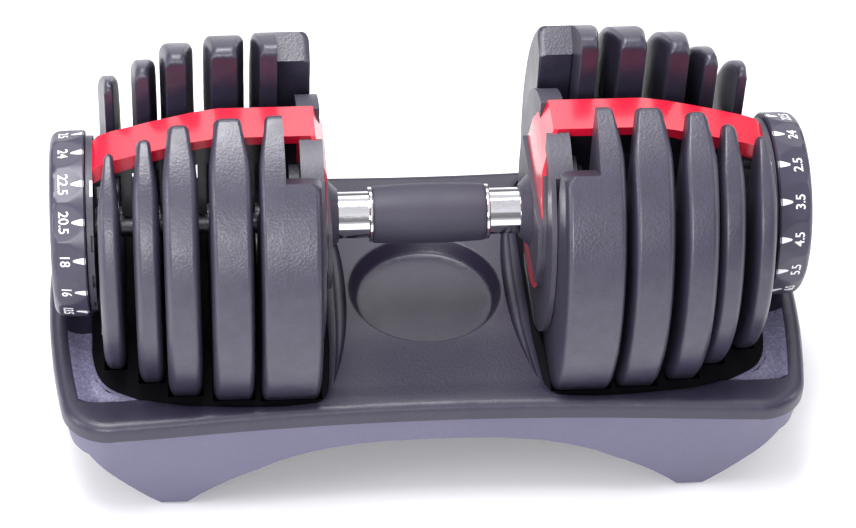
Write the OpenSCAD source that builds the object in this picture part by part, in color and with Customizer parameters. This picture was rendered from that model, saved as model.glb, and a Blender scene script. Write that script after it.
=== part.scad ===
// Adjustable dumbbell with a dial at each end, standing in its cradle with
// every weight plate picked up. Millimetres, +Z up, +X along the handle. The
// origin is on the floor under the middle of the handle.
//
// Both heads are the same assembly: the right one is drawn at +X and the left
// one is that head turned half a turn about the vertical axis. Inside each
// head's module, x runs outboard from the middle of the handle and the handle's
// axis is lifted to z = 0 by at_axis().

/* [Handle] */
// Height of the handle axis over the floor
axis_z = 124; // [122:0.5:128]
// Radius of the chrome handle tube
tube_r = 12.5; // [12:0.1:13]
// Half length of the rubber grip
grip_half = 30.4; // [28:0.2:34]
// Radius of the rubber grip at its middle
grip_r = 16.2; // [15.8:0.1:17]
// Radius of the steel rod inside the handle tube
rod_r = 7; // [6:0.1:7.4]

/* [Plates, from the outermost to the innermost] */
// Where each plate's inboard face lies along the handle
plate_in = [163.5, 143.5, 123.5, 96.5, 79.5]; // [79:0.1:170]
// Where each plate's outboard face lies
plate_out = [174.7, 156.8, 141.5, 118, 92.7]; // [92:0.1:175]
// Outer radius of each plate
plate_r = [78, 86, 94.3, 97.7, 98.8]; // [60:0.1:99]
// How far each inboard face is ground back at the mouth of the slot
mouth_in = [2.1, 3.1, 3.5, 4, 0.5]; // [0:0.1:5]
// How far each outboard face is ground back at the mouth of the slot
mouth_out = [4, 2.6, 3.2, 3.2, 3.7]; // [0:0.1:5]
// Half width of the slot that the handle drops into
slot_half = 25.3; // [25:0.1:26]
// Chamfer on the rims of the plates
rim_chamfer = 1.6; // [0.5:0.1:2.5]
// Inboard face of the innermost plate's thick block
block_in = 61.4; // [61.3:0.1:62]
// Half width of the wide slot in that block
block_slot = 47.5; // [46.5:0.1:49]

/* [Selector] */
// Radius of the selector shafts
shaft_r = 8; // [7:0.5:9]
// Running clearance of a selector shaft in its bearings
running = 0.05; // [0.02:0.01:0.08]
// Outer radius of the selector discs
disc_r = 23.5; // [23:0.1:24]
// Inner radius of the carrying rings on the selector discs
ring_r = 20.5; // [20.4:0.1:21]
// Half width of the hook on each plate
hook_half = 3.2; // [2.8:0.1:3.4]
// Number of weight settings round a dial
settings = 15; // [15]

/* [Dials] */
// Inboard face of a dial
dial_in = 181.5; // [181.4:0.1:182]
// Outboard face of a dial
dial_out = 200; // [198:0.5:202]
// Outer radius of a dial
dial_r = 49.5; // [48:0.1:50.5]

/* [Head frame] */
// Inboard face of the hub disc
hub_in = 58.4; // [58.2:0.1:58.6]
// Radius of the hub disc
hub_r = 65.5; // [64:0.1:66]
// Radius of the drum that joins the hub to the bridge
drum_r = 45.5; // [44:0.1:46]
// Half width of the red bridge
bridge_half = 12; // [11:0.1:13]
// Radius of the end plate behind the dial
end_plate_r = 46.5; // [45:0.1:47]

/* [Cradle] */
// Height of the cradle's top face
deck_z = 71; // [70:0.5:72]
// Height of the joint line between tray and base
joint_z = 61; // [60:0.5:62]
// Half length of the cradle
cradle_half_x = 205; // [203:0.5:208]
// Half depth of the cradle at its middle
cradle_half_y = 94; // [93:0.5:96]
// How much deeper the cradle is near its ends, each side
cradle_flare = 8; // [6:0.5:9]
// Wall thickness of the moulded cradle parts
wall = 3; // [2.6:0.1:3.4]
// Crown height of the arch between the feet
arch_crown = 45.5; // [40:0.5:48]

/* [Hidden] */
sides = ["left", "right"];
head_parts = ["hub", "hub_cover", "bridge", "end_plate", "bridge_screws", "index_mark",
    "detent_ball", "detent_spring", "lock_spring", "lock_slider", "dial", "dial_screw",
    "selector_shaft"];
plate_count = len(plate_r);

$fn = 96;
gap = 0.3;           // clear air between pieces that don't touch
big = 300;           // longer than the whole dumbbell is wide

// Settings, counted from the lightest as 0, at which each plate is picked up
carried = [
    [1, 3, 5, 10, 14],
    [2, 3, 6, 7, 8, 11, 13, 14],
    [4, 5, 6, 9, 10, 12, 13, 14],
    [7, 11, 12, 13, 14],
    [8, 9, 10, 11, 12, 13, 14]];
step_angle = 360 / settings;

// Selector discs: offsets from the plate's inboard face
web_from = 1.2;
web_to = 3.2;
ring_to = 7.2;
leg_from = 7.6;
leg_to = 10.6;
disc_hub_r = 12;
ring_width = 2.6;
hook_top = 17;
hook_bottom = 19.2;

// Head frame
hub_out = 61;
cap_out = 70.4;
cap_half = 37;
cap_from = 30;
cap_clear = 66.5;
drum_in = 63.5;
drum_out = 75.7;
shaft_in = 66.5;
cover_in = 54;
shield_in = 56.2;
cone_in = 48.8;
end_plate_in = 177.5;
end_plate_out = 181;
bridge_wall = 2.6;
web_half = 9.2;
shoulder_z = 38;
boss_in = 167;
detent_r = 31;
ball_r = 2.5;
ball_x = 178.85;
spring_wire = 0.35;
slider_x = [177.9, 180.6];
slider_half = 4;
slider_z = [-51.1, -30];
lock_spring_r = 0.95;
lock_spring_top = -18.6;
screw_r = 1.7;
screw_head_r = 3.2;
track_in = 33;
track_out = 41.4;
dial_face = 3;
dial_skin = 3;
dial_hub_r = 14;
dial_round = 6;

// Cradle
end_radius = 460;
corner_r = 26;
dish_r = 41.7;
dish_floor_r = 38;
dish_depth = 9;
dish_y = -1.5;
foot_x = 140;
foot_y = 82.5;
foot_half = 4.5;
flank_run = 40;
screw_x = 191;
screw_y = 45;
screw_boss_r = 5;
screw_head_z = 51;
pad_h = 2;
pad_r = 5.5;
tongue_half = 10;
tongue_in = 176.4;
post_half = 5;
well_skin = 3;
well_gap = 0.7;
well_end = 1.2;
trough_play = 0.5;
rib_height = [14, 20, 20, 26, 26];  // of the rib outboard of each plate
leg_half = 14;
leg_in = 77;

// ---------------------------------------------------------------- helpers

// Places what was drawn for the right head on either side
module on(side) {
    rotate([0, 0, side == "left" ? 180 : 0]) children();
}

// Lifts what was drawn round the X axis to the handle's height
module at_axis() {
    translate([0, 0, axis_z]) children();
}

// A solid of revolution about the X axis, from points of [x, radius]
module turned(points) {
    rotate([90, 0, 90]) rotate_extrude() polygon([for (p = points) [p[1], p[0]]]);
}

// A plain cylinder along X
module rod(from, to, r) {
    translate([from, 0, 0]) rotate([0, 90, 0]) cylinder(h = to - from, r = r);
}

// A box given by its two corners
module block(low, high) {
    translate(low) cube(high - low);
}

// A shape drawn as [y, z] points, run along X
module along_x(from, to) {
    translate([from, 0, 0]) rotate([90, 0, 90]) linear_extrude(to - from) children();
}

// A shape drawn as [x, z] points, run along Y to both sides of the middle
module across_y(half) {
    rotate([90, 0, 0]) translate([0, 0, -half]) linear_extrude(2 * half) children();
}

// A coil spring standing on z = 0
module coil(height, r, wire, turns) {
    linear_extrude(height, twist = -360 * turns, slices = 12 * turns, $fn = 6)
        translate([r, 0]) circle(wire, $fn = 6);
}

// Copies a shape to the four corners of a rectangle
module at_corners(x, y) {
    for (sx = [-1, 1]) for (sy = [-1, 1]) translate([sx * x, sy * y, 0]) children();
}

// Copies a shape to the four screws that join tray and base, at the given height;
// what is drawn at +X from a screw points to the cradle's end
module at_screws(z) {
    for (turn = [0, 180]) for (s = [-1, 1])
        rotate([0, 0, turn]) translate([screw_x, s * screw_y, z]) children();
}

// ---------------------------------------------------------------- cradle

// Plan outline of the cradle, drawn in by the given amount
module plan(inset) {
    waist = 160;
    waist_r = (waist * waist + cradle_flare * cradle_flare) / (2 * cradle_flare);
    offset(r = corner_r - inset, $fn = 64) offset(delta = -corner_r) difference() {
        intersection() {
            square([2 * cradle_half_x, 2 * (cradle_half_y + cradle_flare)], center = true);
            intersection_for (s = [-1, 1])
                translate([s * (cradle_half_x - end_radius), 0]) circle(end_radius, $fn = 360);
        }
        for (s = [-1, 1])
            translate([0, s * (cradle_half_y + waist_r)]) circle(waist_r, $fn = 360);
    }
}

// Mouth of the plate well on the right, as seen from above
module well_mouth() {
    front = [[55.4, 0], [55.4, 42], [57.8, 78], [61.6, 86.5], [82, 88.5], [104, 88],
        [134, 85], [152, 80], [172, 69], [178, 60], [181, 45], [181, tongue_half],
        [tongue_in, tongue_half], [tongue_in, 0]];
    for (s = [-1, 1]) scale([1, s]) polygon(front);
}

module cradle_tray() color("#4d4a58") {
    difference() {
        union() {
            translate([0, 0, joint_z]) linear_extrude(deck_z - joint_z) plan(0);
            for (side = sides) on(side)
                block([tongue_in + 0.6, -post_half, deck_z - 1], [slider_x[1], post_half, deck_z + 1.6]);
        }
        difference() {
            translate([0, 0, joint_z - 1]) linear_extrude(deck_z - wall - joint_z + 1) plan(wall);
            translate([0, dish_y, joint_z - 1]) cylinder(h = 12, r = dish_r + 1);
            at_screws(joint_z) cylinder(h = 9, r = screw_boss_r);
        }
        translate([0, dish_y, deck_z - dish_depth])
            cylinder(h = dish_depth + 1, r1 = dish_floor_r, r2 = dish_r + 0.4);
        for (side = sides) on(side)
            translate([0, 0, joint_z - 2]) linear_extrude(20) well_mouth();
        at_screws(joint_z - 1) cylinder(h = 7, r = screw_r);
    }
}

// Lower edge of the base seen from the front, right half, as [x, height]
function arch_edge(x) = arch_crown * (1 - pow(x / (foot_x - foot_half), 3.1));
function flank_edge(x) = arch_crown * pow((x - foot_x - foot_half) / flank_run, 1.2);

module base_cut() {
    inner = foot_x - foot_half;
    outer = foot_x + foot_half;
    for (s = [-1, 1]) scale([s, 1]) {
        polygon(concat([[0, -1]], [for (i = [0:16]) [inner * i / 16, arch_edge(inner * i / 16)]],
            [[inner, -1]]));
        polygon(concat([[outer, -1]],
            [for (x = [outer:flank_run / 10:outer + flank_run]) [x, flank_edge(x)]],
            [[cradle_half_x + 5, arch_crown], [cradle_half_x + 5, -1]]));
    }
}

// Solid that narrows from the joint line down to the feet
module base_shell(inset, bottom) {
    intersection() {
        hull() {
            translate([0, 0, joint_z - 1]) linear_extrude(1) plan(1.5 + inset);
            translate([0, 0, bottom]) linear_extrude(1) plan(11 + inset);
        }
        linear_extrude(joint_z) plan(1.5 + inset);
    }
}

module cradle_base() color("#6f6d84") difference() {
    base_shell(0, pad_h);
    difference() {
        union() {
            base_shell(wall, 0);
            translate([0, 0, joint_z - 2]) linear_extrude(4) plan(1.5 + wall);
            linear_extrude(5) plan(14 + wall);
        }
        // solid legs and screw bosses stand inside the shell
        for (s = [-1, 1]) scale([1, s, 1]) for (x = [-foot_x, foot_x])
            block([x - leg_half, leg_in, 0], [x + leg_half, cradle_half_y, joint_z]);
        at_screws(arch_crown) block([-screw_boss_r, -6, 0], [big, 6, joint_z]);
    }
    across_y(big) base_cut();
    at_screws(0) {
        cylinder(h = screw_head_z + 2, r = screw_head_r + 0.3);
        cylinder(h = joint_z + 2, r = screw_r + 0.2);
    }
}

module rubber_feet() color("#1c1c1f")
    at_corners(foot_x, foot_y) cylinder(h = pad_h, r = pad_r);

module cradle_screws() color("#b8bac0") at_screws(screw_head_z) {
    cylinder(h = 2, r = screw_head_r);
    cylinder(h = joint_z + 5 - screw_head_z, r = screw_r);
}

// Troughs under the plates, with ribs that stand up between them
module plate_well(side) color("#2d2b36") on(side) at_axis() {
    top = deck_z - wall - axis_z;
    difference() {
        union() {
            for (i = [0:plate_count - 1])
                rod(trough_from(i) - (i == plate_count - 1 ? well_skin : 0),
                    i == 0 ? trough_to(0) + well_end : trough_from(i - 1),
                    plate_r[i] + well_gap + well_skin);
            translate([0, 0, top - well_skin]) linear_extrude(well_skin) offset(delta = 3) well_mouth();
        }
        for (i = [0:plate_count - 1]) {
            rod(trough_from(i), trough_to(i), plate_r[i] + well_gap);
            rod(plate_out[i], i == 0 ? plate_out[0] + 2 : plate_in[i - 1], plate_r[i] - rib_height[i]);
        }
        rod(block_in - well_skin - 1, block_in + 1, hub_r + 1);
        block([0, -big, top], [big, big, big]);
    }
}

// Ends of the trough that plate i stands in
function trough_from(i) = (i == plate_count - 1 ? block_in : plate_in[i]) - trough_play;
function trough_to(i) = plate_out[i] + trough_play;

// ---------------------------------------------------------------- handle

module axle_rod() color("#9a9ca2") at_axis() rod(-65, 65, rod_r);

module handle_tube() color("#d9dade") at_axis() difference() {
    rod(-hub_in, hub_in, tube_r);
    rod(-hub_in - 1, hub_in + 1, rod_r);
}

// Barrel-shaped grip: its radius falls by a parabola towards the ends
module grip_sleeve() color("#26262a") at_axis() {
    steps = 8;
    drop = grip_r - 15.2;
    turned(concat(
        [[-grip_half, tube_r]],
        [for (i = [-steps:steps]) [grip_half * i / steps, grip_r - drop * pow(i / steps, 2)]],
        [[grip_half, tube_r]]));
}

module grip_rings() color("#e4e5e8") at_axis()
    for (s = [-1, 1]) scale([s, 1, 1]) turned([[grip_half, tube_r], [grip_half, 14.8],
        [grip_half + 1.2, 14.8], [grip_half + 2, 14], [grip_half + 2, tube_r]]);

// ---------------------------------------------------------------- head frame

// Gap in the hub's top where the bridge comes through
module bridge_notch(clear) {
    block([hub_in - 1, -bridge_half - clear, shoulder_z - clear], [62.5, bridge_half + clear, big]);
    block([62, -bridge_half - clear, bridge_under[3][1] - clear], [big, bridge_half + clear, big]);
}

module hub(side) color("#5b5966") on(side) at_axis() difference() {
    union() {
        rod(hub_in, hub_out, hub_r);
        intersection() {
            rod(hub_in, cap_out, hub_r);
            block([0, -cap_half, cap_from], [big, cap_half, big]);
        }
        rod(hub_out - 1, drum_in + 1, 40);
        rod(drum_in, drum_out, drum_r);
    }
    rod(hub_in - 1, 65, rod_r);
    rod(shaft_in - 1.5, drum_out + 1, shaft_r + running);
    bridge_notch(gap);
    for (s = [-1, 1]) translate([0, s * 30, 0]) rod(hub_in - 1, 69, screw_r);
}

// Crossbar and cone over the end of the handle tube
module hub_cover(side) color("#54525f") on(side) at_axis() difference() {
    union() {
        along_x(cover_in, shield_in) intersection() {
            circle(43);
            translate([-60, -16]) square([120, 37]);
        }
        turned([[cone_in, 0], [cone_in, 14.2], [cone_in + 1, 15], [cover_in + 0.5, 20], [cover_in + 0.5, 0]]);
    }
    rod(cone_in - 1, shield_in + 1, tube_r);
}

// Side view of the bridge: top edge from the hub to the dial, then the undersides
// of the web and of the wider roof, back to the hub
bridge_top = [[64, 66.5], [112, 66.5], [126, 64], [148, 58.4], [168, 52.6], [174.5, 50], [177.5, 46.5]];
bridge_under = [[177.5, 37.5], [148, 43.5], [118, 47], [64, 46]];

bridge_lip = [[177.5, 37.5], [168, 44.5], [148, 51], [126, 58.5], [112, 61.5], [64, 61.5]];

module bridge_side(under, drop = 0) {
    polygon(concat([for (p = bridge_top) p - [0, drop]], [for (p = under) p - [0, drop]]));
}

// Red bridge over the plates, with the shield that covers the hub's inboard face
module bridge(side) color("#d8222f") on(side) at_axis() difference() {
    union() {
        across_y(bridge_half) bridge_side(bridge_lip);
        difference() {
            across_y(web_half) bridge_side(bridge_under);
            intersection() {
                across_y(web_half - bridge_wall) bridge_side(bridge_under, 3);
                block([cap_clear, -big, 0], [174.8, big, big]);
            }
        }
        // dividers that keep the plates apart under the bridge
        for (x = [[93.2, 96.0], [118.5, 123.0], [138.4, 142.9], [157.3, 163.0]])
            along_x(x[0], x[1]) translate([-web_half, 12]) square([2 * web_half, 38]);
        // sloping shoulder down from the bridge to the shield
        hull() {
            block([62, -bridge_half, 46], [64.5, bridge_half, 66.5]);
            block([shield_in, -22, shoulder_z], [hub_in, 22, bridge_under[3][1]]);
        }
        along_x(shield_in, hub_in) {
            circle(42);
            polygon([[-22, 46], [22, 46], [40, 10], [-40, 10]]);
        }
    }
    rod(shield_in - 1, hub_in + 1, tube_r);
    difference() {
        rod(hub_in, cap_out, hub_r);
        bridge_notch(0);
    }
    for (s = [-1, 1]) translate([0, s * 6, 42]) rod(170, 178, screw_r);
    for (s = [-1, 1]) translate([0, s * 30, 0]) rod(shield_in - 1, hub_in + 1, screw_r);
}

// Bearing plate between the bridge and the dial, with the detent housing
module end_plate(side) color("#6a6675") on(side) at_axis() difference() {
    union() {
        rod(end_plate_in, end_plate_out, end_plate_r);
        translate([0, 0, detent_r]) rod(boss_in, end_plate_in + 1, 4.4);
    }
    rod(end_plate_in - 1, end_plate_out + 1, shaft_r + running);
    translate([0, 0, detent_r]) rod(boss_in + 1.2, end_plate_out + 1, ball_r + 0.1);
    block([slider_x[0] - 0.15, -slider_half - 0.15, -end_plate_r - 1],
        [slider_x[1] + 0.15, slider_half + 0.15, lock_spring_top]);
    block([slider_x[1] - 1, -2.3, -46], [end_plate_out + 1, 2.3, -32]);
    for (s = [-1, 1]) translate([0, s * 6, 42]) {
        rod(end_plate_in - 1, end_plate_out + 1, screw_r);
        rod(end_plate_out - 1.5, end_plate_out + 1, screw_head_r);
    }
    mark_groove(side);
    // windows along the inboard edge of the rim
    for (s = [-1, 1]) for (a = [-28:28:28]) rotate([a + s * 90, 0, 0])
        block([end_plate_in - 1, -4.5, end_plate_r - 3], [end_plate_in + 1.5, 4.5, end_plate_r + 3]);
}

module bridge_screws(side) color("#b8bac0") on(side) at_axis() {
    for (s = [-1, 1]) translate([0, s * 6, 42]) {
        rod(170.5, end_plate_out - 0.5, screw_r);
        rod(end_plate_out - 1.5, end_plate_out - 0.2, screw_head_r);
    }
    for (s = [-1, 1]) translate([0, s * 30, 0]) rod(shield_in, 69, screw_r);
}

// White line let into the rim of the end plate, which the dial is read against
module index_mark(side) color("#f2f2f2") on(side) at_axis() intersection() {
    mark_groove(side);
    rod(end_plate_in, end_plate_out, end_plate_r, $fn = 360);
}

module mark_groove(side) {
    rotate([side == "left" ? -26 : 26, 0, 0])
        block([end_plate_in, -4.5, end_plate_r - 1.5], [end_plate_in + 1.5, 4.5, end_plate_r + 3]);
}

module detent_ball(side) color("#c9cbd0") on(side) at_axis()
    translate([ball_x, 0, detent_r]) sphere(ball_r);

module detent_spring(side) color("#8d8f96") on(side) at_axis()
    translate([boss_in + 1.3, 0, detent_r]) rotate([0, 90, 0])
        coil(ball_x - ball_r - boss_in - 1.5, 1.7, spring_wire, 5);

// Slider that holds the dial still once the handle is out of the cradle
module lock_slider(side) color("#a4a6ac") on(side) at_axis() {
    block([slider_x[0], -slider_half, slider_z[0]], [slider_x[1], slider_half, slider_z[1]]);
    block([slider_x[1] - 0.5, -2, -37], [dial_in + 2.5, 2, -33.5]);
}

module lock_spring(side) color("#8d8f96") on(side) at_axis()
    translate([(slider_x[0] + slider_x[1]) / 2, 0, slider_z[1] + 0.1])
        coil(lock_spring_top - slider_z[1] - 0.2, lock_spring_r, 0.3, 6);

// ---------------------------------------------------------------- dial and selector

module dial(side) color("#67646f") on(side) at_axis() difference() {
    turned([[dial_in, 0], [dial_in, dial_r - 0.8], [dial_in + 0.8, dial_r],
        each [for (a = [0:15:90]) [dial_out - dial_round * (1 - sin(a)), dial_r - dial_round * (1 - cos(a))]],
        [dial_out, 0]]);
    // hollow of the rim, open towards the end plate
    difference() {
        rod(dial_in + 1.4, dial_out - dial_face, dial_r - dial_skin);
        rod(dial_in, dial_out, dial_hub_r);
    }
    // track for the lock slider's tooth, with a notch at each setting
    difference() {
        rod(dial_in - 1, dial_in + 2, track_out);
        rod(dial_in - 2, dial_in + 3, track_in);
    }
    for (s = [0:settings - 1]) rotate([s * step_angle, 0, 0]) {
        block([dial_in - 1, -2.4, -track_out - 3], [dial_in + 2, 2.4, -track_out + 1]);
        translate([dial_in - 0.9, 0, detent_r]) sphere(1.6, $fn = 32);
    }
    rod(dial_in - 1, 192, shaft_r);
    rod(180, dial_out + 1, 2.1);
    rod(dial_out - 2.2, dial_out + 1, 6);
}

module dial_screw(side) color("#3a3a40") on(side) at_axis() {
    rod(dial_out - 2.2, dial_out - 0.4, 5.9);
    rod(184, dial_out - 2, 2.1);
}

module selector_shaft(side) color("#aeb0b6") on(side) at_axis() difference() {
    rod(shaft_in, 192, shaft_r);
    rod(183, 193, 2.1);
}

// Disc that picks plate i up wherever its ring is present under the hook
module selector_disc(side, i) {
    from = plate_in[i];
    color("#8f9198") on(side) at_axis() difference() {
        union() {
            rod(from + web_from, from + web_to, disc_r);
            rod(from + web_from, from + ring_to, disc_hub_r);
            for (s = [0:settings - 1]) if (carried_at(i, s) && !carried_at(i, s - 1))
                ring_stretch(from + web_to - 0.5, from + ring_to, s, run_length(i, s));
        }
        rod(from, from + ring_to + 1, shaft_r);
    }
}

// Whether plate i is picked up with the disc turned s steps on from the heaviest setting
function carried_at(i, s) =
    len([for (c = carried[i]) if (c == (s + 2 * settings - 1) % settings) c]) > 0;
// How many settings in a row pick plate i up, from step s on
function run_length(i, s) = carried_at(i, s) ? 1 + run_length(i, s + 1) : 0;

// Stretch of carrying ring for some settings in a row, the first one pointing down
module ring_stretch(from, to, first, count) {
    play = 0.3;
    rotate([(first - 0.5) * step_angle + play - 90, 0, 0]) rotate([90, 0, 90])
        rotate_extrude(angle = count * step_angle - 2 * play)
            translate([ring_r, from]) square([ring_width, to - from]);
}

// ---------------------------------------------------------------- plates

// Round plate body with chamfered rims
module round_plate(from, to, r) {
    c = rim_chamfer;
    turned([[from, 0], [from, r - c], [from + c, r], [to - c, r], [to, r - c], [to, 0]]);
}

// Bevel at the mouth of the slot on one face, for both horns
module mouth_bevel(face, depth, outward) {
    for (s = [-1, 1]) translate([face, 0, slot_half + 4]) scale([outward, s, 1])
        linear_extrude(big) polygon([[1, 20], [-depth, 20], [-depth, slot_half], [0, 52], [1, 52]]);
}

module plate(side, i) {
    from = plate_in[i];
    to = plate_out[i];
    r = plate_r[i];
    innermost = i == plate_count - 1;
    color("#55525f") on(side) at_axis() {
        difference() {
            union() {
                round_plate(from, to, r);
                if (innermost) difference() {
                    round_plate(block_in, from + rim_chamfer + 1, r);
                    rod(block_in - 1, from, block_slot);
                    along_x(block_in - 1, from) {
                        translate([-block_slot, 0]) square([2 * block_slot, r + 1]);
                        polygon([[-62, r + 9], [-62, 77], [-block_slot, 68.5], [block_slot, 68.5],
                            [62, 77], [62, r + 9]]);
                    }
                }
            }
            rod(from - (innermost ? 0.01 : 1), to + 1, slot_half);
            block([from - (innermost ? 0.01 : 1), -slot_half, 0], [to + 1, slot_half, r + 1]);
            if (!innermost) mouth_bevel(from, mouth_in[i], -1);
            mouth_bevel(to, mouth_out[i], 1);
        }
        // hook that hangs on the selector disc's ring
        block([from + leg_from, -hook_half, -slot_half - 2], [from + leg_to, hook_half, -hook_top]);
        block([from + web_to + 0.5, -hook_half, -hook_bottom], [from + leg_to, hook_half, -hook_top]);
    }
}

// ---------------------------------------------------------------- assembly

cradle_tray();
cradle_base();
rubber_feet();
cradle_screws();
axle_rod();
handle_tube();
grip_sleeve();
grip_rings();
for (side = sides) {
    plate_well(side);
    hub(side);
    hub_cover(side);
    bridge(side);
    end_plate(side);
    bridge_screws(side);
    index_mark(side);
    detent_ball(side);
    detent_spring(side);
    lock_spring(side);
    lock_slider(side);
    dial(side);
    dial_screw(side);
    selector_shaft(side);
    for (i = [1:plate_count]) {
        selector_disc(side, i - 1);
        plate(side, i - 1);
    }
}
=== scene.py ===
"""Looks of the adjustable dumbbell in its cradle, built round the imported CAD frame.

Blender works in metres. Inside this script a head is described in millimetres
in its own frame: x runs outboard from the middle of the handle, and z is
counted from the handle's axis. world() puts such a point on either side, as
the CAD does: the left head is the right one turned half a turn about Z.
"""

import math

import bpy
import numpy as np
from mathutils import Matrix, Vector
from mathutils.geometry import delaunay_2d_cdt

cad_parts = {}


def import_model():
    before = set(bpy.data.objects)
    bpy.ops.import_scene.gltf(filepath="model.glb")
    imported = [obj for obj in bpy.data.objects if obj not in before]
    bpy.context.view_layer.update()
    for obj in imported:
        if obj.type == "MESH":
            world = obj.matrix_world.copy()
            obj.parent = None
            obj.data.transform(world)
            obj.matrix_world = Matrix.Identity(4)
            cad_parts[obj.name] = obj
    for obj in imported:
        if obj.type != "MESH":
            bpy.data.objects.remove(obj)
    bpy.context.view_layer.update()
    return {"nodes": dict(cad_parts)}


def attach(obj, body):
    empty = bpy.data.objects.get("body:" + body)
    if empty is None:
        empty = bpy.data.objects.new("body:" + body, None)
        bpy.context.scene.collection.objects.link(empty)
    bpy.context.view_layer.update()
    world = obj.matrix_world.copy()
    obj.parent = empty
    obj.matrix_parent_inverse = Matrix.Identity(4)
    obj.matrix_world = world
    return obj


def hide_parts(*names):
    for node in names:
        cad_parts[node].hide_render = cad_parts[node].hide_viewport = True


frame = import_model()
nodes = frame["nodes"]

MM = 0.001
AXIS_Z = 124.0
SIDES = ("left", "right")
TAU = 2 * math.pi


def linear(r, g, b):
    """A colour as 0 to 255 values, turned into linear light."""
    out = []
    for c in (r, g, b):
        c /= 255
        out.append(c / 12.92 if c <= 0.04045 else ((c + 0.055) / 1.055) ** 2.4)
    return (*out, 1.0)


# ---------------------------------------------------------------- materials


class Tree:
    """A material's node tree, with short calls to add and link nodes."""

    def __init__(self, name):
        self.material = bpy.data.materials.new(name)
        self.material.use_nodes = True
        self.tree = self.material.node_tree
        self.shader = self.tree.nodes["Principled BSDF"]
        coords = self.add("ShaderNodeTexCoord")
        self.place = coords.outputs["Object"]

    def add(self, kind, **settings):
        node = self.tree.nodes.new(kind)
        for key, value in settings.items():
            setattr(node, key, value)
        return node

    def link(self, source, target):
        self.tree.links.new(source, target)

    def scaled(self, scale):
        """Object coordinates stretched along the axes."""
        node = self.add("ShaderNodeMapping")
        node.inputs["Scale"].default_value = scale
        self.link(self.place, node.inputs["Vector"])
        return node.outputs["Vector"]

    def noise(self, scale, detail=4, rough=0.55, place=None, seed=0.0):
        node = self.add("ShaderNodeTexNoise", noise_dimensions="4D")
        node.inputs["W"].default_value = seed
        node.inputs["Scale"].default_value = scale
        node.inputs["Detail"].default_value = detail
        node.inputs["Roughness"].default_value = rough
        self.link(place or self.place, node.inputs["Vector"])
        return node.outputs["Fac"]

    def cells(self, scale, place=None):
        node = self.add("ShaderNodeTexVoronoi")
        node.inputs["Scale"].default_value = scale
        self.link(place or self.place, node.inputs["Vector"])
        return node.outputs["Distance"]

    def ramp(self, source, low, high, a=0.0, b=1.0):
        """Maps source from low..high to a..b, held at the ends."""
        node = self.add("ShaderNodeMapRange")
        node.inputs["From Min"].default_value = low
        node.inputs["From Max"].default_value = high
        node.inputs["To Min"].default_value = a
        node.inputs["To Max"].default_value = b
        self.link(source, node.inputs["Value"])
        return node.outputs["Result"]

    def math(self, operation, a, b):
        node = self.add("ShaderNodeMath", operation=operation)
        for socket, value in zip(node.inputs, (a, b)):
            if isinstance(value, (int, float)):
                socket.default_value = value
            else:
                self.link(value, socket)
        return node.outputs[0]

    def mix(self, factor, a, b):
        node = self.add("ShaderNodeMix", data_type="RGBA")
        for socket, value in ((node.inputs[0], factor), (node.inputs[6], a), (node.inputs[7], b)):
            if isinstance(value, (int, float, tuple)):
                socket.default_value = value
            else:
                self.link(value, socket)
        return node.outputs[2]

    def bump(self, height, strength, distance):
        node = self.add("ShaderNodeBump")
        node.inputs["Strength"].default_value = strength
        node.inputs["Distance"].default_value = distance
        self.link(height, node.inputs["Height"])
        previous = self.shader.inputs["Normal"]
        if previous.is_linked:
            self.link(previous.links[0].from_socket, node.inputs["Normal"])
        self.link(node.outputs["Normal"], previous)

    def colour(self, value):
        self.link(value, self.shader.inputs["Base Color"])

    def rough(self, value):
        self.link(value, self.shader.inputs["Roughness"])

    def edge(self):
        """The worn-edge attribute of a mesh, 0 where it has none."""
        return self.add("ShaderNodeAttribute", attribute_name="edge").outputs["Fac"]


def smooth(t):
    """0 to 1 with a soft start and end."""
    t = min(1.0, max(0.0, t))
    return t * t * (3 - 2 * t)


def shade(colour, factor):
    """A darker or lighter shade of a colour."""
    return (*(c * factor for c in colour[:3]), 1.0)


def moulded(name, colour, rough=0.5, grain=900.0, depth=0.25, speckle=0.35, worn=0.35,
            specular=0.5, coat=0.0):
    """Textured moulded plastic: leather-like grain, cloudy tone, rubbed edges."""
    m = Tree(name)
    cloud = m.noise(7, 4, 0.5, seed=1.3)
    tone = m.mix(m.ramp(cloud, 0.3, 0.7), shade(colour, 0.93), shade(colour, 1.07))
    fine = m.noise(grain, 3, 0.6)
    speck = m.mix(m.ramp(fine, 0.42, 0.66, 0, speckle), tone, shade(colour, 1.9))
    scuffs = m.ramp(m.noise(140, 4, 0.6, seed=4.2), 0.35, 0.62, 0, worn)
    rubbed = m.math("MULTIPLY", m.edge(), scuffs)
    m.colour(m.mix(rubbed, speck, shade(colour, 2.6)))
    base = m.ramp(m.noise(30, 4, 0.6, seed=2.1), 0.3, 0.7, rough - 0.07, rough + 0.07)
    m.rough(m.math("SUBTRACT", base, m.math("MULTIPLY", rubbed, 0.15)))
    m.shader.inputs["Specular IOR Level"].default_value = specular
    m.shader.inputs["Coat Weight"].default_value = coat
    m.shader.inputs["Coat Roughness"].default_value = 0.25
    m.bump(m.cells(grain * 0.55), depth, 0.00025)
    m.bump(fine, depth, 0.0002)
    return m.material


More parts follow.
